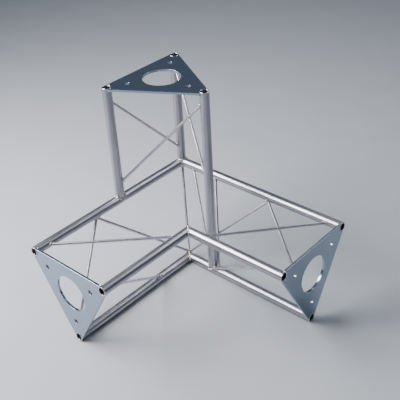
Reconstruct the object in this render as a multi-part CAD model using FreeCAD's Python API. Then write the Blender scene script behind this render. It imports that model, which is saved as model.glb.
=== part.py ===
import FreeCAD, Part
import math
import os

# Three-way corner of a triangular lattice truss, apex down: a left leg along -Y, a right leg
# along +X and an upright leg along +Z. Each leg has three tubes (chords), straight bracing rods
# between them and a flat end plate, all welded. The corner stands on its two lower chords.
# Millimetres. The origin is at the middle of the bottom face of the whole corner's box.

V = FreeCAD.Vector

# ---- driving dimensions -------------------------------------------------------------------
SPACING = 200.0             # chord axis to chord axis, on every side of the triangle
LEFT_REACH = 440.0          # outer corner's axis to the left end plate's outer face
RIGHT_REACH = 440.0         # outer corner's axis to the right end plate's outer face
UPRIGHT_REACH = 440.0       # lower chords' axes to the upright end plate's outer face

TUBE_OD = 20.0
TUBE_WALL = 2.0
ROD_D = 6.0

PLATE_THICKNESS = 5.0
PLATE_EDGE = 9.0            # plate's edge, out from the line that joins two chord axes
CABLE_HOLE_D = 80.0         # round opening in the middle of each end plate
BOLT_CIRCLE_D = 146.0
BOLT_HOLE_D = 11.0

TUBE_BEAD = 1.2             # how far a weld between two tubes, or tube and plate, stands proud
MITRE_BEAD_WIDTH = 4.0      # width of the weld across a mitre
ROD_BEAD = 1.5              # how far a rod's weld spreads over the rod and over the tube
CRUMB = 1.0                 # a scrap of weld smaller than this, in mm3, is left out
CROSSING_GAP = 0.6          # daylight between two rods that cross in the same face
TRIM_MARGIN = 30.0          # how far a cutting block reaches past the metal that it trims

# Where a brace lands on a chord, along the leg: out from the chord's own corner joint (JOINT),
# in from the end plate's outer face (PLATE), or out from the right upright's foot (FOOT). The
# rods that rest against that upright are placed from its foot, so that they stay against it.
JOINT, PLATE, FOOT = "joint", "plate", "foot"
BRACES = {
    "left_top_brace": (("left_inner", JOINT, 34.0), ("left_outer", PLATE, 38.0)),
    "left_inner_brace": (("left_lower", JOINT, 104.0), ("left_inner", PLATE, 38.0)),
    "left_outer_brace_long": (("left_lower", JOINT, -5.0), ("left_outer", JOINT, 275.0)),
    "left_outer_brace_short": (("left_outer", JOINT, 278.0), ("left_lower", PLATE, 3.0)),
    "right_top_brace": (("right_inner", JOINT, 44.0), ("right_outer", PLATE, 36.0)),
    "right_inner_brace": (("right_lower", FOOT, 11.8), ("right_inner", PLATE, 55.0)),
    "right_outer_brace_long": (("right_lower", JOINT, -5.0), ("right_outer", JOINT, 256.0)),
    "right_outer_brace_short": (("right_outer", JOINT, 256.0), ("right_lower", PLATE, 8.0)),
    "upright_left_brace": (("upright_corner", JOINT, 46.0), ("upright_left", PLATE, 38.0)),
    "upright_front_brace": (("upright_left", JOINT, 47.0), ("upright_right", PLATE, 32.0)),
    "upright_right_brace": (("upright_right", FOOT, 220.0), ("upright_corner", PLATE, 36.0)),
    "foot_brace_near": (("right_outer", FOOT, -129.2), ("right_lower", FOOT, -9.0)),
    "foot_brace_far": (("right_outer", FOOT, -63.2), ("right_lower", FOOT, 15.0)),
}
# Rods that cross in the right leg's outer face pass each other, one on each side of its plane.
OUTSIDE_THE_FACE = ("right_outer_brace_long",)
INSIDE_THE_FACE = ("foot_brace_near", "foot_brace_far")

# ---- sizes that follow --------------------------------------------------------------------
TUBE_R = TUBE_OD / 2
ROD_R = ROD_D / 2
DEPTH = SPACING * math.sqrt(3) / 2          # height of the chords' triangle
PLATE_TIP = TUBE_R / 2                      # a plate's corner is cut off this far past the axis
LEFT, RIGHT, UP = V(0, -1, 0), V(1, 0, 0), V(0, 0, 1)

# The outer corner, where the left, right and upright outer chords meet.
CORNER = V(
    (TUBE_R + TUBE_BEAD - RIGHT_REACH) / 2,
    (LEFT_REACH - TUBE_R - TUBE_BEAD) / 2,
    DEPTH + TUBE_R,
)
MITRE_NORMAL = V(1, 1, 0).normalize()       # the one upright plane that holds all three mitres

# A cutting block is centred on the corner and reaches past the far end of every chord. An inner
# chord's end lies off to the side as well, so the spacing counts on top of the longest reach.
BLOCK = 2 * (max(LEFT_REACH, RIGHT_REACH, UPRIGHT_REACH) + SPACING + TRIM_MARGIN)


# ---- helpers ------------------------------------------------------------------------------
def cylinder(start, end, radius):
    return Part.makeCylinder(radius, (end - start).Length, start, end - start)


def half_space(point, normal, depth=BLOCK):
    """A large block on the side of a plane that its normal points to."""
    block = Part.makeBox(depth, BLOCK, BLOCK, V(0, -BLOCK / 2, -BLOCK / 2))
    block.Placement = FreeCAD.Placement(point, FreeCAD.Rotation(V(1, 0, 0), normal))
    return block


def near(shape, others):
    """Those of the other shapes whose boxes reach this shape's box."""
    return [other for other in others if other.BoundBox.intersect(shape.BoundBox)]


def without(shape, others):
    """A shape with the others cut out of it."""
    close = near(shape, others)
    return shape.cut(close) if close else shape


class Chord:
    """One tube: its axis, its start and end along the leg, and the mitre that trims it."""

    def __init__(self, offset, along, start, end, mitre_side=0):
        self.base = CORNER + offset
        self.along = along
        self.start = start
        self.end = end
        self.mitre_side = mitre_side        # -1 left of the mitre, +1 right of it, 0 no mitre

    def at(self, station):
        return self.base + self.along * station

    def station(self, reference, gap):
        if reference == JOINT:
            return self.start + gap
        if reference == PLATE:
            return self.end - gap
        foot = -DEPTH if self.along == UP else DEPTH
        return foot + gap

    def bar(self, radius):
        """The chord as solid bar of some radius, trimmed at its mitre."""
        if not self.mitre_side:
            return cylinder(self.at(self.start), self.at(self.end), radius)
        bar = cylinder(self.at(self.start - 2 * radius), self.at(self.end), radius)
        return bar.common(half_space(CORNER, MITRE_NORMAL * self.mitre_side))

    def bore(self):
        return cylinder(
            self.at(self.start - 2 * TUBE_OD), self.at(self.end + 1), TUBE_R - TUBE_WALL
        )


half = SPACING / 2
upright_end = UPRIGHT_REACH - DEPTH
chords = {
    "left_outer": Chord(V(0, 0, 0), LEFT, 0, LEFT_REACH, -1),
    "left_inner": Chord(V(SPACING, 0, 0), LEFT, SPACING, LEFT_REACH, -1),
    "left_lower": Chord(V(half, 0, -DEPTH), LEFT, half, LEFT_REACH, -1),
    "right_outer": Chord(V(0, 0, 0), RIGHT, 0, RIGHT_REACH, 1),
    "right_inner": Chord(V(0, -SPACING, 0), RIGHT, SPACING, RIGHT_REACH, 1),
    "right_lower": Chord(V(0, -half, -DEPTH), RIGHT, half, RIGHT_REACH, 1),
    "upright_corner": Chord(V(0, 0, 0), UP, 0, upright_end),
    "upright_left": Chord(V(0, -SPACING, 0), UP, 0, upright_end),
    "upright_right": Chord(V(DEPTH, -half, 0), UP, -DEPTH, upright_end),
}
LANDS_ON = {
    "upright_corner": ("left_outer", "right_outer"),
    "upright_left": ("left_outer",),
    "upright_right": ("right_lower",),
}
LEGS = {
    "left": ("left_outer", "left_inner", "left_lower"),
    "right": ("right_outer", "right_inner", "right_lower"),
    "upright": ("upright_corner", "upright_left", "upright_right"),
}
bars = {name: chord.bar(TUBE_R) for name, chord in chords.items()}
nodes = {}


# ---- chords: the horizontal ones are mitred, the upright ones are coped over them ----------
def make_chord(name):
    tube = bars[name].cut(chords[name].bore())
    for under in LANDS_ON.get(name, ()):
        tube = tube.cut(bars[under])
    return tube


for name in chords:
    nodes[name + "_chord"] = make_chord(name)


# ---- end plates: a triangle between the three tubes, flush with their open ends ------------
def plate_outline(leg):
    """The plate's six-sided outline, on the outer face: the tips are cut off past the tubes."""
    ends = [chords[name].at(chords[name].end) for name in LEGS[leg]]
    centre = (ends[0] + ends[1] + ends[2]) * (1 / 3)
    tips = [end + (end - centre).normalize() * 2 * PLATE_EDGE for end in ends]
    trim = (2 * PLATE_EDGE - PLATE_TIP) / math.cos(math.radians(30))
    points = []
    for i in range(3):
        for neighbour in (tips[i - 1], tips[(i + 1) % 3]):
            points.append(tips[i] + (neighbour - tips[i]).normalize() * trim)
    return centre, Part.Face(Part.makePolygon(points + points[:1]))


def make_plate(leg):
    along = chords[LEGS[leg][0]].along
    centre, outline = plate_outline(leg)
    plate = outline.extrude(along * -PLATE_THICKNESS)
    through = along * -PLATE_THICKNESS
    holes = [cylinder(centre, centre + through, CABLE_HOLE_D / 2)]
    for name in LEGS[leg]:
        toward = (chords[name].at(chords[name].end) - centre).normalize()
        bolt = centre + toward * (BOLT_CIRCLE_D / 2)
        holes.append(cylinder(bolt, bolt + through, BOLT_HOLE_D / 2))
    return plate.cut(holes + [bars[name] for name in LEGS[leg]])


for leg in LEGS:
    nodes[leg + "_end_plate"] = make_plate(leg)


# ---- braces: straight rods between the tubes -----------------------------------------------
def rod_line(name):
    """The rod's centre line, run on into both tubes so that coping shapes its ends."""
    (first, *first_place), (second, *second_place) = BRACES[name]
    start = chords[first].at(chords[first].station(*first_place))
    end = chords[second].at(chords[second].station(*second_place))
    along = chords[first].along
    across = chords[second].base - chords[first].base
    across = (across - along * across.dot(along)).normalize()
    start, end = start + across * TUBE_R, end - across * TUBE_R
    outward = along.cross(across)
    if outward.y < 0:
        outward = outward * -1
    side = (name in OUTSIDE_THE_FACE) - (name in INSIDE_THE_FACE)
    sideways = outward * (side * (ROD_D + CROSSING_GAP) / 2)
    run_on = (end - start).normalize() * TUBE_R
    return start - run_on + sideways, end + run_on + sideways


lower_joint = chords["right_lower"].at(chords["right_lower"].start)
rods = {"corner_brace": (CORNER, lower_joint)}    # from the outer joint to the lower joint
rods.update({name: rod_line(name) for name in BRACES})

# A rod is coped onto tubes, plates and the rods before it, and its cut-off tip is left out.
rod_bars = {name: cylinder(*line, ROD_R) for name, line in rods.items()}
in_place = list(bars.values()) + [nodes[leg + "_end_plate"] for leg in LEGS]
for name, rod in rod_bars.items():
    pieces = without(rod, in_place).Solids
    nodes[name] = max(pieces, key=lambda piece: piece.Volume)
    in_place.append(rod)


# ---- welds ----------------------------------------------------------------------------------
below_floor = half_space(V(0, 0, 0), V(0, 0, -1), TRIM_MARGIN)
filled = list(bars.values()) + list(rod_bars.values()) + [below_floor]
filled += [nodes[leg + "_end_plate"] for leg in LEGS]


def add_weld(node, raw):
    """Keeps what no other piece, nor an earlier bead, fills of each of a weld's raw shapes."""
    beads = []
    for shape in raw:
        kept = [solid for solid in without(shape, filled).Solids if solid.Volume > CRUMB]
        beads.extend(kept)
        filled.extend(kept)
    nodes[node] = Part.makeCompound(beads)


def mitre_band(left, right):
    """The weld across the mitre between a left and a right chord."""
    grown = TUBE_R + TUBE_BEAD
    joint = chords[right].at(chords[right].start)
    across = MITRE_NORMAL * (MITRE_BEAD_WIDTH / 2)
    reach = 2 * TUBE_OD
    slab = Part.makeBox(MITRE_BEAD_WIDTH, reach, reach, V(0, -reach / 2, -reach / 2))
    slab.Placement = FreeCAD.Placement(joint - across, FreeCAD.Rotation(V(1, 0, 0), MITRE_NORMAL))
    return [chords[name].bar(grown).common(slab) for name in (left, right)]


def saddle(upright, under):
    """The weld round the foot of an upright chord, where it lands on another chord."""
    grown = TUBE_R + TUBE_BEAD
    return chords[upright].bar(grown).common(chords[under].bar(grown))


def plate_beads(leg):
    """The welds behind a plate, along the notch that each tube fills."""
    along = chords[LEGS[leg][0]].along
    back = plate_outline(leg)[1].translated(along * -PLATE_THICKNESS)
    behind = back.extrude(along * -TUBE_BEAD)
    return [chords[name].bar(TUBE_R + TUBE_BEAD).common(behind) for name in LEGS[leg]]


def rod_beads(name):
    """The rings of weld round a rod's ends."""
    ring = cylinder(*rods[name], ROD_R + ROD_BEAD)
    grown = [chord.bar(TUBE_R + ROD_BEAD) for chord in chords.values()]
    return [ring.common(bar) for bar in near(rod_bars[name], grown) if ring.common(bar).Volume > 0]


outer_joint = [saddle("upright_corner", under) for under in LANDS_ON["upright_corner"]]
add_weld("outer_joint_weld", outer_joint + mitre_band("left_outer", "right_outer"))
add_weld("inner_joint_weld", mitre_band("left_inner", "right_inner"))
add_weld("lower_joint_weld", mitre_band("left_lower", "right_lower"))
add_weld("upright_left_foot_weld", [saddle("upright_left", "left_outer")])
add_weld("upright_right_foot_weld", [saddle("upright_right", "right_lower")])
for leg in LEGS:
    add_weld(leg + "_plate_welds", plate_beads(leg))
for group in ("left", "right", "upright", "foot", "corner"):
    names = [name for name in rods if name.startswith(group)]
    add_weld(group + "_brace_welds", [bead for name in names for bead in rod_beads(name)])


# ---- write the pieces -------------------------------------------------------------------------
os.makedirs("parts", exist_ok=True)
for name, shape in nodes.items():
    solids = shape.Solids
    shape.exportStep(os.path.join("parts", name + ".step"))
    print(name, len(solids), "solids", round(sum(s.Volume for s in solids)), "mm3")
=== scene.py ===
# %% [markdown]
# # A three-way corner of a lattice truss
# A small stage truss is made of three steel tubes held apart by thin bracing rods. This piece is the
# corner where three such legs meet: two lie flat and one stands up. Every tube ends flush with a
# drilled triangular plate, all joints are welded, and the whole piece is bright plated afterwards.
#
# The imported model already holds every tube, rod and plate in its right place. The tubes could be
# drawn again here, but two drawings of one part soon differ, so the frame is loaded and never moved.
# What is left for Blender is what a machinist's model lacks: rippled weld beads, the plated finish
# with its drawing lines and handling marks, and studio light to see them by.

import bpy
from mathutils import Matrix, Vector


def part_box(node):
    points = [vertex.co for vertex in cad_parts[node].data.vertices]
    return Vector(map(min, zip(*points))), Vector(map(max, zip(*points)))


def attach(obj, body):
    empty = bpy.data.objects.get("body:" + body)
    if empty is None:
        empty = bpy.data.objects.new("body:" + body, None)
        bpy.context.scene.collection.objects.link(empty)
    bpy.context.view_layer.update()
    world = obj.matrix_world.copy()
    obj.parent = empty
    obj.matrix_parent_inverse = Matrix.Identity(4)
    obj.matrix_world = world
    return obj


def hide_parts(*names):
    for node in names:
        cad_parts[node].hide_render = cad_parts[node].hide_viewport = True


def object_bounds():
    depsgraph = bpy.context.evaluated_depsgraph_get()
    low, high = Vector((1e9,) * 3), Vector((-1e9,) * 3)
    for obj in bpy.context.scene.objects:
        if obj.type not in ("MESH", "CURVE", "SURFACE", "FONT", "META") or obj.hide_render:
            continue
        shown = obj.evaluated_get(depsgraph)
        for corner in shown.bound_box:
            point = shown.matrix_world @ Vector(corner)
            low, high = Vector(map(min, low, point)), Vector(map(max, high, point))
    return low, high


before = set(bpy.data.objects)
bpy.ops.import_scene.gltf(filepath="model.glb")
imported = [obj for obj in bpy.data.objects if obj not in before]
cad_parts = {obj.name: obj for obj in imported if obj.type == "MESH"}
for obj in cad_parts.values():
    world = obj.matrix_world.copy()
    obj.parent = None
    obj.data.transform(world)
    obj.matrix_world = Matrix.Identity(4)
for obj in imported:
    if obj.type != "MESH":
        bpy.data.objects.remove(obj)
cad_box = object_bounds()
print("nodes:", len(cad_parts))

# %% [markdown]
# All later work is in metres, in the frame's own axes. `numpy` does the arithmetic on many points at
# once, and `mathutils` gives Blender's vectors and a tree that finds where a ray meets the metal.
# The welder's hand is a little unsteady, so beads need chance. It is seeded, because the same script
# has to give the same welds each time.

# %% Tools for the work
import math

import bpy
import numpy as np
from mathutils import Matrix, Vector
from mathutils.bvhtree import BVHTree

MM = 0.001
UP = Vector((0, 0, 1))
welders_hand = np.random.default_rng(7)
print("Blender", bpy.app.version_string)

# %% [markdown]
# ## Reading sizes from the frame
# A bead has to lie exactly where tubes meet, so it needs the tubes' middle lines and radius. These
# could be typed in again, but then they would go wrong when the part is packed with another length.
# Each tube runs along an axis of the frame and fills its own box, so the box gives its middle line
# and radius. Only two stock sizes are typed in further down: the rod's radius and the tube's wall.

# %% Middle lines of the tubes
LEGS = {
    "left": (Vector((0, -1, 0)), ("left_outer", "left_inner", "left_lower")),
    "right": (Vector((1, 0, 0)), ("right_outer", "right_inner", "right_lower")),
    "upright": (Vector((0, 0, 1)), ("upright_corner", "upright_left", "upright_right")),
}
tubes = {}
for along, names in LEGS.values():
    for name in names:
        low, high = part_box(name + "_chord")
        end = (low + high) / 2 + along * (abs((high - low).dot(along)) / 2)
        tubes[name] = {"along": along, "end": end}

low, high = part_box("upright_corner_chord")
TUBE_RADIUS = (high.x - low.x) / 2
corner = Vector((tubes["upright_corner"]["end"].x, tubes["upright_corner"]["end"].y,
                 tubes["left_outer"]["end"].z))
SPACING = (tubes["left_inner"]["end"] - tubes["left_outer"]["end"]).length
print("tube radius", round(TUBE_RADIUS / MM, 2), "mm; spacing", round(SPACING / MM, 1), "mm")

# %% [markdown]
# The bracing rods run slantwise, and a slanted rod's box says little about its direction. The mean
# of its end points would do for square ends, but these are shaped to fit the tubes. So a circle is
# fitted to the ring of points at each end, looking along the rod. The line through the two circle
# centres is a better direction for the next look, and after a few looks it stays put.

# %% Centre line of a rod
LOOKS = 5
SLANTED = (0.31, 0.53, 0.79)        # a direction that no rod has


def ring_centre(points, along):
    """The centre of the circle that points make when they are seen along a direction."""
    side = np.cross(along, SLANTED)
    side /= np.linalg.norm(side)
    other = np.cross(along, side)
    x, y, depth = points @ side, points @ other, (points @ along).mean()
    fit = np.linalg.lstsq(np.c_[2 * x, 2 * y, np.ones(len(x))], x * x + y * y, rcond=None)[0]
    return fit[0] * side + fit[1] * other + depth * along


def centre_line(node):
    """Two points on a straight round rod's centre line, one near each end."""
    points = np.array([v.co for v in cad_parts[node].data.vertices])
    spread = points - points.mean(0)
    along = np.linalg.svd(spread, full_matrices=False)[2][0]
    for _ in range(LOOKS):
        far = spread @ along > 0
        start, end = ring_centre(points[~far], along), ring_centre(points[far], along)
        along = (end - start) / np.linalg.norm(end - start)
    return Vector(start), Vector(end)


RODS = [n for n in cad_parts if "brace" in n and not n.endswith("welds")]
rods = {name: centre_line(name) for name in RODS}
ROD_RADIUS = 3 * MM         # stock size
for name, (start, end) in rods.items():
    print(name, round((end - start).length / MM, 1), "mm")

# %% [markdown]
# ## Where the welds lie
# A weld bead follows the line where two pieces of metal meet. That curve could be worked out for
# every pair of shapes, or drawn by hand, but rays find it for any pair with one piece of code. So
# the tubes and plates go into a tree, which tells quickly what a ray meets first.

# %% A tree of the metal that beads are laid on
def metal_tree(names):
    """One tree for the meshes of several nodes."""
    points, faces = [], []
    for name in names:
        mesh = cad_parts[name].data
        first = len(points)
        points += [v.co.copy() for v in mesh.vertices]
        faces += [[first + i for i in p.vertices] for p in mesh.polygons]
    return BVHTree.FromPolygons(points, faces)


chord_names = [name + "_chord" for name in tubes]
plate_names = [leg + "_end_plate" for leg in LEGS]
tubes_and_plates = metal_tree(chord_names + plate_names)
print("faces to land on:", sum(len(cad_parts[n].data.polygons) for n in chord_names + plate_names))

# %% [markdown]
# The rays are sent along a bar from a ring just outside its skin. Where each lands on the other
# metal is a point of the bead. A Boolean of the two pieces would give the same line, but a bead also
# has to know which way is outward, and a ray's landing place tells that too.

# %% Rays from a ring round a bar
RING = 180                  # rays round a bar
FAR = 1.0                   # metres: farther than any tube is long


def two_sides(along):
    """Two directions square to a direction and to each other."""
    side = along.orthogonal().normalized()
    return side, along.cross(side)


def landing_ring(origin, along, radius, tree, reach=FAR, count=RING):
    """For each ray from a ring round an axis: where it lands and which way is outward there."""
    side, other = two_sides(along)
    ring = []
    for i in range(count):
        angle = 2 * math.pi * i / count
        radial = side * math.cos(angle) + other * math.sin(angle)
        place, normal, _, _ = tree.ray_cast(origin + radial * radius, along, reach)
        ring.append((place, (radial + normal).normalized()) if place is not None else None)
    return ring


start, end = rods["left_top_brace"]
ring = landing_ring((start + end) / 2, (end - start).normalized(), ROD_RADIUS * 1.1, tubes_and_plates)
print("rays that landed:", sum(r is not None for r in ring), "of", len(ring))

# %% [markdown]
# ## The bead itself
# A welder moves in small steps, and every step leaves one ripple. The rays landed at uneven
# distances, so the line is first given new points at even ones, several to a ripple. A curve object
# could hold the line too, but plain arrays of points are easier to shape in the next step.

# %% Even points along a line
STEP = 1.7 * MM             # how far the welder moves between two ripples
RINGS_PER_STEP = 7


def even_line(places, outs, closed):
    """The same line with points at even distances, close enough to show each ripple."""
    places, outs = np.array(places), np.array(outs)
    if closed:
        places, outs = np.vstack([places, places[:1]]), np.vstack([outs, outs[:1]])
    gone = np.r_[0, np.cumsum(np.linalg.norm(np.diff(places, axis=0), axis=1))]
    steps = max(4, round(gone[-1] / STEP))
    at = np.linspace(0, gone[-1], steps * RINGS_PER_STEP + 1)
    if closed:
        at = at[:-1]
    spaced = [np.array([np.interp(at, gone, column) for column in a.T]).T for a in (places, outs)]
    return spaced[0], spaced[1], at, gone[-1], steps


def smooth_line(values, closed, passes):
    """Each point moved halfway to the middle of its neighbours, some times over."""
    for _ in range(passes):
        before, after = np.roll(values, 1, 0), np.roll(values, -1, 0)
        if not closed:
            before[0], after[-1] = values[0], values[-1]
        values = values / 2 + (before + after) / 4
    return values


print("ripple step", round(STEP / MM, 2), "mm, with", RINGS_PER_STEP, "rings of points")

# %% [markdown]
# Every ripple is a crescent, like a row of coins pushed over. A plain ring with a bump texture would
# show the crescents only in its shading, and its outline would stay smooth. So the bead is a round
# section swept along its line. Its radius swells once in each step, and each section leans forward
# in the middle, which turns plain rings into crescents.

# %% Sweep a rippled bead
SECTION = 14                # points round the bead's section
RIPPLE = 0.13               # a ripple's height, as a share of the bead's radius
RIPPLE_FALL = 1.5           # how steeply a ripple falls off behind its front
UNDER = 0.05                # taken off all round, so that ripples hardly change the mean size
LEAN = 0.45                 # how far a ripple's middle leans forward, as a share of the step
SIZE_WEAVE = 0.9            # how much the unsteady hand changes the bead's size
WEAVE_PASSES = 60           # more passes make the hand's movements slower
LINE_PASSES = 6
END_TAPER = 1.5             # an open bead thins over this many radii
THIN_END = 0.02             # the least that a taper leaves, before its square root is taken


def bead(places, outs, radius, closed=True):
    """Points and faces of one rippled weld bead along a line."""
    line, out, at, length, steps = even_line(places, outs, closed)
    line, out = smooth_line(line, closed, LINE_PASSES), smooth_line(out, closed, LINE_PASSES)
    tangent = np.roll(line, -1, 0) - np.roll(line, 1, 0)
    if not closed:
        tangent[0], tangent[-1] = line[1] - line[0], line[-1] - line[-2]
    tangent /= np.linalg.norm(tangent, axis=1)[:, None]
    out -= tangent * (out * tangent).sum(1)[:, None]
    out /= np.linalg.norm(out, axis=1)[:, None]
    across = np.cross(tangent, out)

    phase = (at / length * steps) % 1.0
    ripple = 1 + RIPPLE * (1 - phase) ** RIPPLE_FALL - UNDER
    weave = smooth_line(welders_hand.normal(0, 1, len(at)), closed, WEAVE_PASSES)
    size = radius * ripple * (1 + SIZE_WEAVE * weave)
    if not closed:
        taper = np.minimum(at, length - at) / (END_TAPER * radius)
        size = size * np.sqrt(np.clip(taper, THIN_END, 1))
    sway = smooth_line(welders_hand.normal(0, 1, len(at)), closed, WEAVE_PASSES)
    line = line + across * (sway * radius)[:, None]

    points = []
    for i in range(SECTION):
        angle = 2 * math.pi * i / SECTION
        lean = tangent * (LEAN * STEP * math.cos(angle))
        points.append(line + (out * math.cos(angle) + across * math.sin(angle)) * size[:, None] + lean)
    points = np.stack(points, 1).reshape(-1, 3)
    points[:, 2] = points[:, 2].clip(0)     # ground flat where the piece stands on the floor
    count = len(at)
    faces = []
    for r in range(count if closed else count - 1):
        for i in range(SECTION):
            j, n = (i + 1) % SECTION, (r + 1) % count
            faces.append((r * SECTION + i, r * SECTION + j, n * SECTION + j, n * SECTION + i))
    if not closed:
        faces += [tuple(range(SECTION))[::-1], tuple((count - 1) * SECTION + i for i in range(SECTION))]
    return points, faces


print("points in one ripple:", SECTION * RINGS_PER_STEP)

# %% [markdown]
# Welds of one kind on one leg are one node of the frame, so their beads are joined into one mesh as
# well. Separate objects would be as easy to draw, but then there would be no single piece to show
# in place of that node.

# %% Pieces made of several parts
def joined_piece(name, parts):
    """One smooth mesh object made of several parts, which rides with the frame."""
    points, faces, first = [], [], 0
    for some_points, some_faces in parts:
        points.append(some_points)
        faces += [tuple(first + i for i in face) for face in some_faces]
        first += len(some_points)
    mesh = bpy.data.meshes.new(name)
    mesh.from_pydata([tuple(p) for p in np.vstack(points)], [], faces)
    mesh.polygons.foreach_set("use_smooth", [True] * len(mesh.polygons))
    mesh.update()
    piece = bpy.data.objects.new(name, mesh)
    bpy.context.scene.collection.objects.link(piece)
    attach(piece, "root")
    print(name, len(parts), "parts,", len(mesh.vertices), "points")
    return piece


def weld_piece(name, beads, stands_for):
    """A group of beads, shown in place of the plain weld of the frame."""
    piece = joined_piece(name, beads)
    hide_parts(stands_for)
    return piece


print("piece helpers ready")

# %% [markdown]
# ## Beads round the ends of the rods
# Every rod is held by a small ring of weld at both ends. A flat ring would be simpler, but it would
# stand off the round tube. The rays start at the rod's middle and go to either end, so one function
# makes both beads. Their ring is a little wider than the rod, because a bead lies in the corner
# outside the rod and not under it.

# %% Rod beads
ROD_BEAD = 1.8 * MM
ROD_CLEAR = 0.35            # a bead's middle stands this share of its radius outside the rod
welds = []


def ring_bead(ring, radius, closed=True):
    """A bead along the places where a ring of rays landed."""
    hits = [hit for hit in ring if hit]
    return bead([place for place, _ in hits], [out for _, out in hits], radius, closed)


def rod_end_bead(name, backwards):
    """The ring of weld at one end of a rod."""
    start, end = rods[name]
    along = (end - start).normalized() * (-1 if backwards else 1)
    radius = ROD_RADIUS + ROD_CLEAR * ROD_BEAD
    return ring_bead(landing_ring((start + end) / 2, along, radius, tubes_and_plates), ROD_BEAD)


for group in ("left", "right", "upright", "foot", "corner"):
    beads = [
        rod_end_bead(name, backwards)
        for name in RODS if name.startswith(group)
        for backwards in (False, True)
    ]
    welds.append(weld_piece(group + "_brace_beads", beads, group + "_brace_welds"))

# %% [markdown]
# ## Beads round the feet of the upright tubes
# An upright tube is cut to a saddle that fits the lying tube, and welded all round. The bead could
# be a curve worked out from two crossing cylinders. The same rays give it without that: sent
# straight down round the upright tube, they land on the lying tube that it stands on.

# %% Foot beads
TUBE_BEAD = 2.1 * MM
TUBE_CLEAR = 0.3            # as ROD_CLEAR, for the wider beads round a tube
lying_tubes = metal_tree([n for n in chord_names if not n.startswith("upright")])


def foot_bead(name):
    """The weld round the foot of an upright tube."""
    radius = TUBE_RADIUS + TUBE_CLEAR * TUBE_BEAD
    return ring_bead(landing_ring(tubes[name]["end"], -UP, radius, lying_tubes), TUBE_BEAD)


for name, node in (("upright_left", "upright_left_foot"), ("upright_right", "upright_right_foot")):
    welds.append(weld_piece(node + "_bead", [foot_bead(name)], node + "_weld"))

# %% [markdown]
# ## Beads across the mitres
# Each pair of lying tubes is cut at 45 degrees and welded all round, so the bead is an ellipse. Rays
# sent along one tube would pass over the other and miss it, so this line is worked out instead: the
# left tube's round section is slid along the tube until it meets the mitre's upright plane.

# %% Mitre beads
MITRE_NORMAL = Vector((1, 1, 0)).normalized()
MITRE_SUNK = 0.15           # a bead's middle lies this share of its radius under the tube's skin


def mitre_bead(name):
    """The weld across the mitre of a left tube and its right neighbour."""
    axis_point, along = tubes[name]["end"], tubes[name]["along"]
    side, other = two_sides(along)
    places, outs = [], []
    for i in range(RING):
        angle = 2 * math.pi * i / RING
        radial = side * math.cos(angle) + other * math.sin(angle)
        skin = axis_point + radial * (TUBE_RADIUS - MITRE_SUNK * TUBE_BEAD)
        slide = (corner - skin).dot(MITRE_NORMAL) / along.dot(MITRE_NORMAL)
        places.append(skin + along * slide)
        outs.append((radial - MITRE_NORMAL * radial.dot(MITRE_NORMAL)).normalized())
    return bead(places, outs, TUBE_BEAD)


outer = [mitre_bead("left_outer"), foot_bead("upright_corner")]
welds.append(weld_piece("outer_joint_bead", outer, "outer_joint_weld"))
welds.append(weld_piece("inner_joint_bead", [mitre_bead("left_inner")], "inner_joint_weld"))
welds.append(weld_piece("lower_joint_bead", [mitre_bead("left_lower")], "lower_joint_weld"))

# %% [markdown]
# ## Beads behind the end plates
# A plate's corners are notched round the tubes and welded from behind, so that the front stays flat
# against the next section. Each tube sticks out past its corner, so the weld goes only part of the
# way round. That arc could be measured, but it needn't be: only rays that land on the plate give a
# point of it.

# %% Plate beads
PLATE_BEAD = 1.7 * MM
START_BEHIND = 50 * MM      # the rays start this far behind the plate's front
PLATE_REACH = 60 * MM
PLATE_RING = 240


def plate_bead(name, plate):
    """The weld behind a plate's notch, from one end of the notch to the other."""
    along = tubes[name]["along"]
    behind = tubes[name]["end"] - along * START_BEHIND
    radius = TUBE_RADIUS + TUBE_CLEAR * PLATE_BEAD
    ring = landing_ring(behind, along, radius, metal_tree([plate]), PLATE_REACH, PLATE_RING)
    gap = ring.index(None)
    return ring_bead(ring[gap:] + ring[:gap], PLATE_BEAD, closed=False)


for leg, (_, names) in LEGS.items():
    plate = leg + "_end_plate"
    beads = [plate_bead(name, plate) for name in names]
    welds.append(weld_piece(leg + "_plate_beads", beads, leg + "_plate_welds"))

# %% [markdown]
# ## Rims of the open tubes
# A tube that is sawn off and tumbled before plating has no sharp edge left. Its rim is a rounded
# lip, and that lip catches a bright ring of light. A Bevel modifier on the tube would round its
# mitred end as well, so the rims are made separately. Each is a half-round section turned round the
# tube's axis, with its flat back hidden on the tube's own end.

# %% Rounded rims
TUBE_WALL = 2 * MM          # stock size
RIM_HEIGHT = 0.8 * MM
RIM_SIDES, RIM_TURNS = 9, 72


def rim(name):
    """Points and faces of the rounded lip on a tube's open end."""
    end, along = tubes[name]["end"], tubes[name]["along"]
    side, other = two_sides(along)
    points, faces = [], []
    for turn in range(RIM_TURNS):
        angle = 2 * math.pi * turn / RIM_TURNS
        radial = side * math.cos(angle) + other * math.sin(angle)
        for i in range(RIM_SIDES):
            lean = math.pi * i / (RIM_SIDES - 1)
            radius = TUBE_RADIUS - TUBE_WALL / 2 + TUBE_WALL / 2 * math.cos(lean)
            points.append(end + radial * radius + along * (RIM_HEIGHT * math.sin(lean)))
    for turn in range(RIM_TURNS):
        here, there = turn * RIM_SIDES, (turn + 1) % RIM_TURNS * RIM_SIDES
        for i in range(RIM_SIDES):
            j = (i + 1) % RIM_SIDES
            faces.append((here + i, there + i, there + j, here + j))
    return np.array(points), faces


rims = {}
for leg, (_, names) in LEGS.items():
    rims[leg] = joined_piece(leg + "_tube_rims", [rim(name) for name in names])

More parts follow.
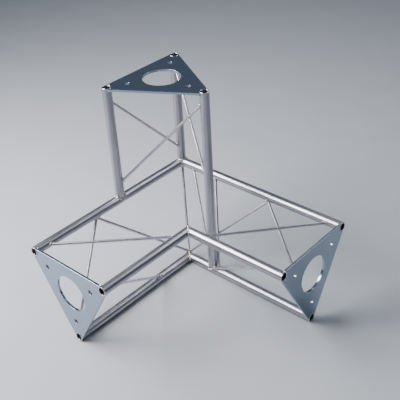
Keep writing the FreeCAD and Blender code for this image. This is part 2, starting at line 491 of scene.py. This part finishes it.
# %% [markdown]
# ## Effects that the finishes share
# All this metal went through the same hands and the same plating bath, so the finishes share their
# marks. The nodes could be copied into every material, but then each change has to be made many
# times. A shader node group is a small machine with named inputs and outputs: each effect is built
# once and placed in every finish that shows it, with that finish's own values.

# %% A helper that starts a group
def new_group(name, inputs, outputs):
    """A shader node group with its sockets, and its input and output nodes."""
    group = bpy.data.node_groups.new(name, "ShaderNodeTree")
    for label, kind, value in inputs:
        socket = group.interface.new_socket(label, in_out="INPUT", socket_type="NodeSocket" + kind)
        socket.default_value = value
    for label, kind in outputs:
        group.interface.new_socket(label, in_out="OUTPUT", socket_type="NodeSocket" + kind)
    return group, group.nodes.new("NodeGroupInput"), group.nodes.new("NodeGroupOutput")


def add_node(tree, kind, **settings):
    """A shader node of a kind, with some of its settings made."""
    node = tree.nodes.new("ShaderNode" + kind)
    for key, value in settings.items():
        setattr(node, key, value)
    return node


def math_node(tree, operation, first, second):
    """A Math node. An input is either another node's output or a plain number."""
    node = add_node(tree, "Math", operation=operation)
    for socket, value in zip(node.inputs, (first, second)):
        if isinstance(value, (int, float)):
            socket.default_value = value
        else:
            tree.links.new(value, socket)
    return node.outputs[0]


def noise_node(tree, vector, scale, detail=2.0, roughness=0.5):
    """A Noise Texture. Its scale is a plain number or another node's output."""
    node = add_node(tree, "TexNoise")
    node.inputs["Detail"].default_value = detail
    node.inputs["Roughness"].default_value = roughness
    if isinstance(scale, (int, float)):
        node.inputs["Scale"].default_value = scale
    else:
        tree.links.new(scale, node.inputs["Scale"])
    tree.links.new(vector, node.inputs["Vector"])
    return node.outputs["Fac"]


def fade_node(tree, value, low, high, to_low=0.0, to_high=1.0):
    """A Map Range node that turns one span of values into another."""
    node = add_node(tree, "MapRange")
    tree.links.new(value, node.inputs["Value"])
    for label, number in zip(("From Min", "From Max", "To Min", "To Max"), (low, high, to_low, to_high)):
        node.inputs[label].default_value = number
    return node.outputs["Result"]


print("group helpers ready")

# %% [markdown]
# Tube and rod are drawn through a die, which leaves fine lines along their length. A wave texture
# would make them too even. Noise becomes uneven lines when space is squeezed in one direction, so
# the group takes the bar's direction and squeezes along it.

# %% Drawing lines
SQUEEZE = 0.985             # the share of the length that is taken out
STREAKS_PER_METRE = 260.0


def make_drawing_lines():
    """Fine lines and broader streaks along a bar."""
    group, given, result = new_group(
        "drawing_lines",
        [("Along", "Vector", (1, 0, 0)), ("Lines per metre", "Float", 2200.0)],
        [("Lines", "Float"), ("Streaks", "Float")],
    )
    place = add_node(group, "TexCoord").outputs["Object"]
    dot = add_node(group, "VectorMath", operation="DOT_PRODUCT")
    part = add_node(group, "VectorMath", operation="SCALE")
    squeezed = add_node(group, "VectorMath", operation="SUBTRACT")
    group.links.new(place, dot.inputs[0])
    group.links.new(given.outputs["Along"], dot.inputs[1])
    group.links.new(given.outputs["Along"], part.inputs[0])
    group.links.new(math_node(group, "MULTIPLY", dot.outputs["Value"], SQUEEZE), part.inputs["Scale"])
    group.links.new(place, squeezed.inputs[0])
    group.links.new(part.outputs[0], squeezed.inputs[1])
    lines = noise_node(group, squeezed.outputs[0], given.outputs["Lines per metre"], 3.0, 0.6)
    streaks = noise_node(group, squeezed.outputs[0], STREAKS_PER_METRE, 2.0)
    group.links.new(fade_node(group, lines, 0.3, 0.7), result.inputs["Lines"])
    group.links.new(fade_node(group, streaks, 0.35, 0.65), result.inputs["Streaks"])
    return group


drawing_lines = make_drawing_lines()
print("group:", drawing_lines.name)

# %% [markdown]
# Handling leaves marks: cloudy smudges that dull the shine, and hair scratches in every direction.
# Painting them by hand would need a picture for each of the pieces, and noise does it for all. The
# smudges are a broad noise cut by a finer one. A scratch is a very thin band of a noise that is
# squeezed one way, and two such sets cross each other.

# %% Handling marks
BROAD_SMUDGES, FINE_SMUDGES, SCRATCH_PATCHES = 22.0, 170.0, 60.0     # noise scales, per metre
SCRATCH_SETS = (((0.4, 0.7, 0.2), (900, 30, 30)), ((1.3, 0.2, 0.9), (30, 30, 900)))
SCRATCH_WIDTH = 0.006       # the band of noise values that is a scratch


def make_handling_marks():
    """Smudges and scratches as two masks."""
    group, given, result = new_group(
        "handling_marks",
        [("Size", "Float", 1.0)],
        [("Smudges", "Float"), ("Scratches", "Float")],
    )
    place = add_node(group, "TexCoord").outputs["Object"]
    scaled = add_node(group, "VectorMath", operation="SCALE")
    group.links.new(place, scaled.inputs[0])
    group.links.new(given.outputs["Size"], scaled.inputs["Scale"])
    broad = fade_node(group, noise_node(group, scaled.outputs[0], BROAD_SMUDGES, 3.0), 0.45, 0.7)
    fine = fade_node(group, noise_node(group, scaled.outputs[0], FINE_SMUDGES, 4.0, 0.65), 0.3, 0.75)
    group.links.new(math_node(group, "MULTIPLY", broad, fine), result.inputs["Smudges"])
    sets = []
    for turn, stretch in SCRATCH_SETS:
        mapping = add_node(group, "Mapping")
        mapping.inputs["Rotation"].default_value = turn
        mapping.inputs["Scale"].default_value = stretch
        group.links.new(scaled.outputs[0], mapping.inputs["Vector"])
        value = noise_node(group, mapping.outputs[0], 1.0, 1.0)
        near = math_node(group, "ABSOLUTE", math_node(group, "SUBTRACT", value, 0.5), 0.0)
        sets.append(fade_node(group, near, 0.0, SCRATCH_WIDTH, 1.0, 0.0))
    either = math_node(group, "MAXIMUM", sets[0], sets[1])
    sparse = fade_node(group, noise_node(group, scaled.outputs[0], SCRATCH_PATCHES, 1.0), 0.55, 0.7)
    group.links.new(math_node(group, "MULTIPLY", either, sparse), result.inputs["Scratches"])
    return group


handling_marks = make_handling_marks()
print("group:", handling_marks.name)

# %% [markdown]
# The finish is made duller, and its colour a little browner, close to a weld and down inside a tube.
# The browner colour is painted shade: it stands in for the shade that falls in these hollows. A mask
# could be painted round each joint. Ambient occlusion gives it at once, because it knows how hemmed in a
# point is.

# %% Painted shade at the joints
SHADE_PATCHES = 240.0       # noise scale, per metre


def make_painted_joint_shade():
    """A mask for painted shade: strong where other metal is close by."""
    group, given, result = new_group(
        "painted_joint_shade",
        [("Reach", "Float", 0.008), ("Amount", "Float", 1.0)],
        [("Painted shade", "Float")],
    )
    place = add_node(group, "TexCoord").outputs["Object"]
    shelter = add_node(group, "AmbientOcclusion", samples=6)
    group.links.new(given.outputs["Reach"], shelter.inputs["Distance"])
    hemmed = fade_node(group, shelter.outputs["AO"], 0.35, 0.95, 1.0, 0.0)
    patchy = fade_node(group, noise_node(group, place, SHADE_PATCHES, 3.0), 0.3, 0.7, 0.35, 1.0)
    painted_shade = math_node(group, "MULTIPLY", hemmed, patchy)
    group.links.new(math_node(group, "MULTIPLY", painted_shade, given.outputs["Amount"]), result.inputs["Painted shade"])
    return group


painted_joint_shade = make_painted_joint_shade()
print("group:", painted_joint_shade.name)

# %% [markdown]
# Plate and tube are never quite true, and a bright finish shows it: reflections swim a little.
# Bending the mesh that little would take a great many faces, and only reflections show it, so this
# is a height for the Bump node, made of slow waves with a faint orange-peel on top.

# %% Waves under the plating
PEEL_PER_METRE = 420.0


def make_plating_waves():
    """A height for the Bump node."""
    group, given, result = new_group(
        "plating_waves",
        [("Waves per metre", "Float", 30.0), ("Peel", "Float", 0.2)],
        [("Height", "Float")],
    )
    place = add_node(group, "TexCoord").outputs["Object"]
    slow = noise_node(group, place, given.outputs["Waves per metre"], 1.0)
    peel = noise_node(group, place, PEEL_PER_METRE, 2.0)
    fine = math_node(group, "MULTIPLY", peel, given.outputs["Peel"])
    group.links.new(math_node(group, "ADD", slow, fine), result.inputs["Height"])
    return group


plating_waves = make_plating_waves()
print("group:", plating_waves.name)

# %% [markdown]
# ## The plated finishes
# Three small helpers keep the recipes below readable. Wiring nodes by hand in the editor gives the
# same result, but it would have to be done over for some forty pieces. One helper places a group,
# one mixes two colours, and one lays a finish on a piece.

# %% Helpers for the finishes
def place_group(tree, group, **values):
    """A group placed in a material, with that material's own values."""
    node = tree.nodes.new("ShaderNodeGroup")
    node.node_tree = group
    for label, value in values.items():
        node.inputs[label.replace("_", " ")].default_value = value
    return node


def mix_colour(tree, factor, first, second):
    """A Mix node for colours. Each is a plain colour or another node's output."""
    node = add_node(tree, "Mix", data_type="RGBA")
    tree.links.new(factor, node.inputs["Factor"])
    for socket, value in ((node.inputs["A"], first), (node.inputs["B"], second)):
        if isinstance(value, tuple):
            socket.default_value = (*value, 1)
        else:
            tree.links.new(value, socket)
    return node.outputs["Result"]


def give(node_or_piece, material):
    """One material on all of a piece, in place of what it had."""
    node_or_piece.data.materials.clear()
    node_or_piece.data.materials.append(material)


print("finish helpers ready")

# %% [markdown]
# All the steel went through the same plating bath, so one function lays the plating over any of the
# pieces. A Glossy shader would do for the shine, but the Principled shader with full Metallic also
# travels to other programs. Its colour, roughness and bump change over the surface through the
# groups, and a Bevel node rounds the edges that real handling and tumbling have softened.

# %% Plated metal
# PAINTED_SHADE_COLOUR is painted shade: dark brown where other metal is close, in the joints and inside
# the tubes.
PAINTED_SHADE_COLOUR = (0.20, 0.155, 0.13)
SMUDGE_COLOUR = (0.36, 0.36, 0.40)
SMUDGE_DULLING, SHELTERED_DULLING, LINE_DULLING = 0.10, 0.22, 0.05     # added to the roughness
SCRATCH_DEPTH, LINE_DEPTH = 0.004 * MM, 0.0012 * MM
STREAK_BRIGHTENING = 1.18
SOFT_EDGE = 0.5 * MM        # how far the Bevel node rounds an edge


def plated_metal(name, colour, roughness, waves, wave_depth, along=None, rounding=SOFT_EDGE):
    """A bright plated finish. With a direction given, it also shows drawing lines along it."""
    material = bpy.data.materials.new(name)
    material.use_nodes = True
    tree = material.node_tree
    shader = tree.nodes["Principled BSDF"]
    shader.inputs["Metallic"].default_value = 1.0

    marks = place_group(tree, handling_marks)
    painted_shade = place_group(tree, painted_joint_shade)
    swim = place_group(tree, plating_waves, Waves_per_metre=waves)
    rough = math_node(tree, "MULTIPLY", marks.outputs["Smudges"], SMUDGE_DULLING)
    rough = math_node(tree, "ADD", rough, roughness)
    dulled = math_node(tree, "MULTIPLY", painted_shade.outputs["Painted shade"], SHELTERED_DULLING)
    rough = math_node(tree, "ADD", rough, dulled)
    height = math_node(tree, "MULTIPLY", swim.outputs["Height"], wave_depth)
    scratch = math_node(tree, "MULTIPLY", marks.outputs["Scratches"], -SCRATCH_DEPTH)
    height = math_node(tree, "ADD", height, scratch)
    clean = colour
    if along is not None:
        lines = place_group(tree, drawing_lines, Along=along)
        brighter = tuple(min(1, c * STREAK_BRIGHTENING) for c in colour)
        clean = mix_colour(tree, lines.outputs["Streaks"], colour, brighter)
        grain = math_node(tree, "MULTIPLY", lines.outputs["Lines"], LINE_DULLING)
        rough = math_node(tree, "ADD", rough, grain)
        groove = math_node(tree, "MULTIPLY", lines.outputs["Lines"], LINE_DEPTH)
        height = math_node(tree, "ADD", height, groove)
    shine = mix_colour(tree, marks.outputs["Smudges"], clean, SMUDGE_COLOUR)
    # Painted shade: the colour goes dark brown where the mask says other metal is close.
    shine = mix_colour(tree, painted_shade.outputs["Painted shade"], shine, PAINTED_SHADE_COLOUR)

    edges = add_node(tree, "Bevel", samples=8)
    edges.inputs["Radius"].default_value = rounding
    bump = add_node(tree, "Bump")
    bump.inputs["Distance"].default_value = 1.0
    tree.links.new(height, bump.inputs["Height"])
    tree.links.new(edges.outputs[0], bump.inputs["Normal"])
    tree.links.new(bump.outputs[0], shader.inputs["Normal"])
    tree.links.new(shine, shader.inputs["Base Color"])
    tree.links.new(rough, shader.inputs["Roughness"])
    return material


print("finish function ready")

# %% [markdown]
# The tubes are bright but not mirror-like: the drawing lines spread a reflection into a broad soft
# band down each tube. One material could serve all nine, but the lines have to run along each tube,
# so each tube's finish is given its own direction. The rims are smoother than the tubes, and their
# colour is painted about twice as light: a painted highlight for the bright ring of light on a lip,
# which sets them off against the dark inside of the tube.

# %% Plated tubes and rims
TUBE_COLOUR = (0.38, 0.37, 0.405)
for name, tube in tubes.items():
    finish = plated_metal("plated_tube_" + name, TUBE_COLOUR, roughness=0.27, waves=28.0,
                          wave_depth=0.03 * MM, along=tube["along"])
    give(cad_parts[name + "_chord"], finish)
# The rims' colour is about twice as light as the tubes': a painted highlight for the ring of light on
# the lip.
RIM_PAINTED_BRIGHT_COLOUR = (0.78, 0.76, 0.79)
rim_painted_bright_finish = plated_metal("plated_rim_painted_bright", RIM_PAINTED_BRIGHT_COLOUR, roughness=0.20, waves=60.0, wave_depth=0.005 * MM)
for piece in rims.values():
    give(piece, rim_painted_bright_finish)
print("tubes plated:", len(tubes))

# %% [markdown]
# The rods are drawn like the tubes, but they are thin: seen from a step away, a rod is one bright
# line. They could take the tubes' colour, and then they would be lost among the tubes, so their
# colour is painted lighter and a shade warmer: a painted highlight for that bright line.

# %% Plated rods
# Lighter and warmer than the tubes' colour: a painted highlight for a rod's bright line.
ROD_PAINTED_BRIGHT_COLOUR = (0.62, 0.59, 0.62)
for name, (start, end) in rods.items():
    along = (end - start).normalized()
    finish = plated_metal("plated_" + name, ROD_PAINTED_BRIGHT_COLOUR, roughness=0.25, waves=40.0,
                          wave_depth=0.01 * MM, along=along)
    give(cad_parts[name], finish)
print("rods plated:", len(rods))

# %% [markdown]
# The plates are cut from sheet, so they have no drawing lines. Their flat faces work like poor
# mirrors and show slow waves. The tubes' colour could be used again, but theirs is painted bluer,
# as a painted reflection of blue surroundings. A wider rounding gives their cut edges the thin line
# of light that a filed edge has.

# %% Plated plates
# Bluer than the tubes' colour: a painted reflection of blue surroundings.
PLATE_PAINTED_BLUE_COLOUR = (0.34, 0.41, 0.51)
FILED_EDGE = 1.0 * MM
plate_painted_blue_finish = plated_metal("plated_plate_painted_blue", PLATE_PAINTED_BLUE_COLOUR, roughness=0.20, waves=14.0,
                            wave_depth=0.05 * MM, rounding=FILED_EDGE)
for name in plate_names:
    give(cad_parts[name], plate_painted_blue_finish)
print("plates plated:", len(plate_names))

# %% [markdown]
# The beads were plated with the rest, and their many small curves sparkle. A duller welding grey
# would suit a frame that was never plated. Here their colour is painted a little lighter than the
# rods, a painted highlight for that sparkle, with much finer waves in their skin, and the painted
# shade gathers at their edges.

# %% Plated weld beads
# Lighter than the rods: a painted highlight for the beads' sparkle.
BEAD_PAINTED_BRIGHT_COLOUR = (0.70, 0.65, 0.67)
bead_painted_bright_finish = plated_metal("plated_bead_painted_bright", BEAD_PAINTED_BRIGHT_COLOUR, roughness=0.24, waves=300.0, wave_depth=0.02 * MM)
for piece in welds:
    give(piece, bead_painted_bright_finish)
print("bead pieces plated:", len(welds))

# %% [markdown]
# ## The studio
# Bright metal shows nothing but its surroundings, so the studio is half of the finish. The floor is
# plain and pale, with so faint a mottle that it is hardly seen. A curved backdrop would do as well,
# but the camera looks down, so a flat square is enough if its edge stays outside the camera's view.

# %% Floor
FLOOR_REACH = 4.0           # metres from the middle to a side
FLOOR_DARKER, FLOOR_LIGHTER = (0.41, 0.435, 0.47), (0.43, 0.455, 0.49)


def make_floor():
    """The plain floor that the piece stands on."""
    mesh = bpy.data.meshes.new("floor")
    corners = [(x * FLOOR_REACH, y * FLOOR_REACH, 0) for x, y in ((-1, -1), (1, -1), (1, 1), (-1, 1))]
    mesh.from_pydata(corners, [], [(0, 1, 2, 3)])
    floor = bpy.data.objects.new("floor", mesh)
    bpy.context.scene.collection.objects.link(floor)
    material = bpy.data.materials.new("pale_floor")
    material.use_nodes = True
    tree = material.node_tree
    shader = tree.nodes["Principled BSDF"]
    shader.inputs["Roughness"].default_value = 0.75
    place = add_node(tree, "TexCoord").outputs["Object"]
    mottle = fade_node(tree, noise_node(tree, place, 9.0, 4.0), 0.3, 0.7)
    colour = mix_colour(tree, mottle, FLOOR_DARKER, FLOOR_LIGHTER)
    tree.links.new(colour, shader.inputs["Base Color"])
    give(floor, material)
    return floor


floor = make_floor()
print("floor", floor.dimensions[:2])

# %% [markdown]
# A point light would leave a pinprick on every tube. A large light panel high on the left draws a
# broad bright band down the tubes instead, and softens the shadows. A weaker, longer panel behind
# on the right lifts the far sides, so that they don't sink into the room.

# %% Lights
def soft_light(name, direction, distance, size, power, colour=(1, 1, 1)):
    """A light panel that looks at the middle of the object from a direction."""
    light = bpy.data.lights.new(name, "AREA")
    light.shape, light.size, light.size_y = "RECTANGLE", size[0], size[1]
    light.energy, light.color = power, colour
    lamp = bpy.data.objects.new(name, light)
    middle = (cad_box[0] + cad_box[1]) / 2
    lamp.location = middle + Vector(direction).normalized() * distance
    lamp.rotation_euler = (middle - lamp.location).to_track_quat("-Z", "Y").to_euler()
    bpy.context.scene.collection.objects.link(lamp)


soft_light("key", direction=(-0.60, -0.44, 0.72), distance=1.35, size=(1.2, 0.85), power=60,
           colour=(1.0, 0.97, 0.975))
soft_light("back", direction=(0.15, 0.62, 0.72), distance=1.8, size=(1.6, 0.5), power=9)

# %% [markdown]
# The tubes' dark edges are reflections too. An evenly white room would wash them out, and a picture
# of a real room would put its own shapes on the metal. So the room is a plain gradient, dark at the
# horizon and lighter overhead.

# %% Room
HORIZON, OVERHEAD = (0.13, 0.16, 0.23), (0.30, 0.35, 0.42)
HORIZON_ENDS, OVERHEAD_STARTS = 0.05, 0.9       # heights on a sphere of radius one
ROOM_STRENGTH = 0.6
world = bpy.data.worlds.new("room")
bpy.context.scene.world = world
world.use_nodes = True
sky = world.node_tree.nodes["Background"]
direction = add_node(world.node_tree, "TexCoord").outputs["Generated"]
split = add_node(world.node_tree, "SeparateXYZ")
world.node_tree.links.new(direction, split.inputs[0])
height = fade_node(world.node_tree, split.outputs["Z"], HORIZON_ENDS, OVERHEAD_STARTS)
shade = mix_colour(world.node_tree, height, HORIZON, OVERHEAD)
world.node_tree.links.new(shade, sky.inputs["Color"])
sky.inputs["Strength"].default_value = ROOM_STRENGTH
print("room:", world.name)

# %% [markdown]
# ## Camera
# The camera looks down on the piece from the front, between the two lying legs, a little rolled. It
# could be aimed with a Track To constraint, but that can't roll it. So its three directions are
# worked out and put into its matrix. Its distance follows the tubes' spacing, as the aim does.

# %% Camera
AZIMUTH, ELEVATION, ROLL = map(math.radians, (43.17, 33.56, -3.48))
AIM = corner + Vector((0.7187, -0.4981, 0)) * SPACING
DISTANCE = 8.242 * SPACING
LENS = 68.45                # mm
back = Vector((math.sin(AZIMUTH) * math.cos(ELEVATION), -math.cos(AZIMUTH) * math.cos(ELEVATION),
               math.sin(ELEVATION)))
right = (-back).cross(UP).normalized()
above = right.cross(-back)
across = right * math.cos(ROLL) + above * math.sin(ROLL)
top = above * math.cos(ROLL) - right * math.sin(ROLL)
camera = bpy.data.objects.new("camera", bpy.data.cameras.new("camera"))
camera.matrix_world = Matrix((across, top, back)).transposed().to_4x4()
camera.location = AIM + back * DISTANCE
camera.data.lens = LENS
bpy.context.scene.collection.objects.link(camera)
bpy.context.scene.camera = camera
print("camera at", [round(c, 3) for c in camera.location])
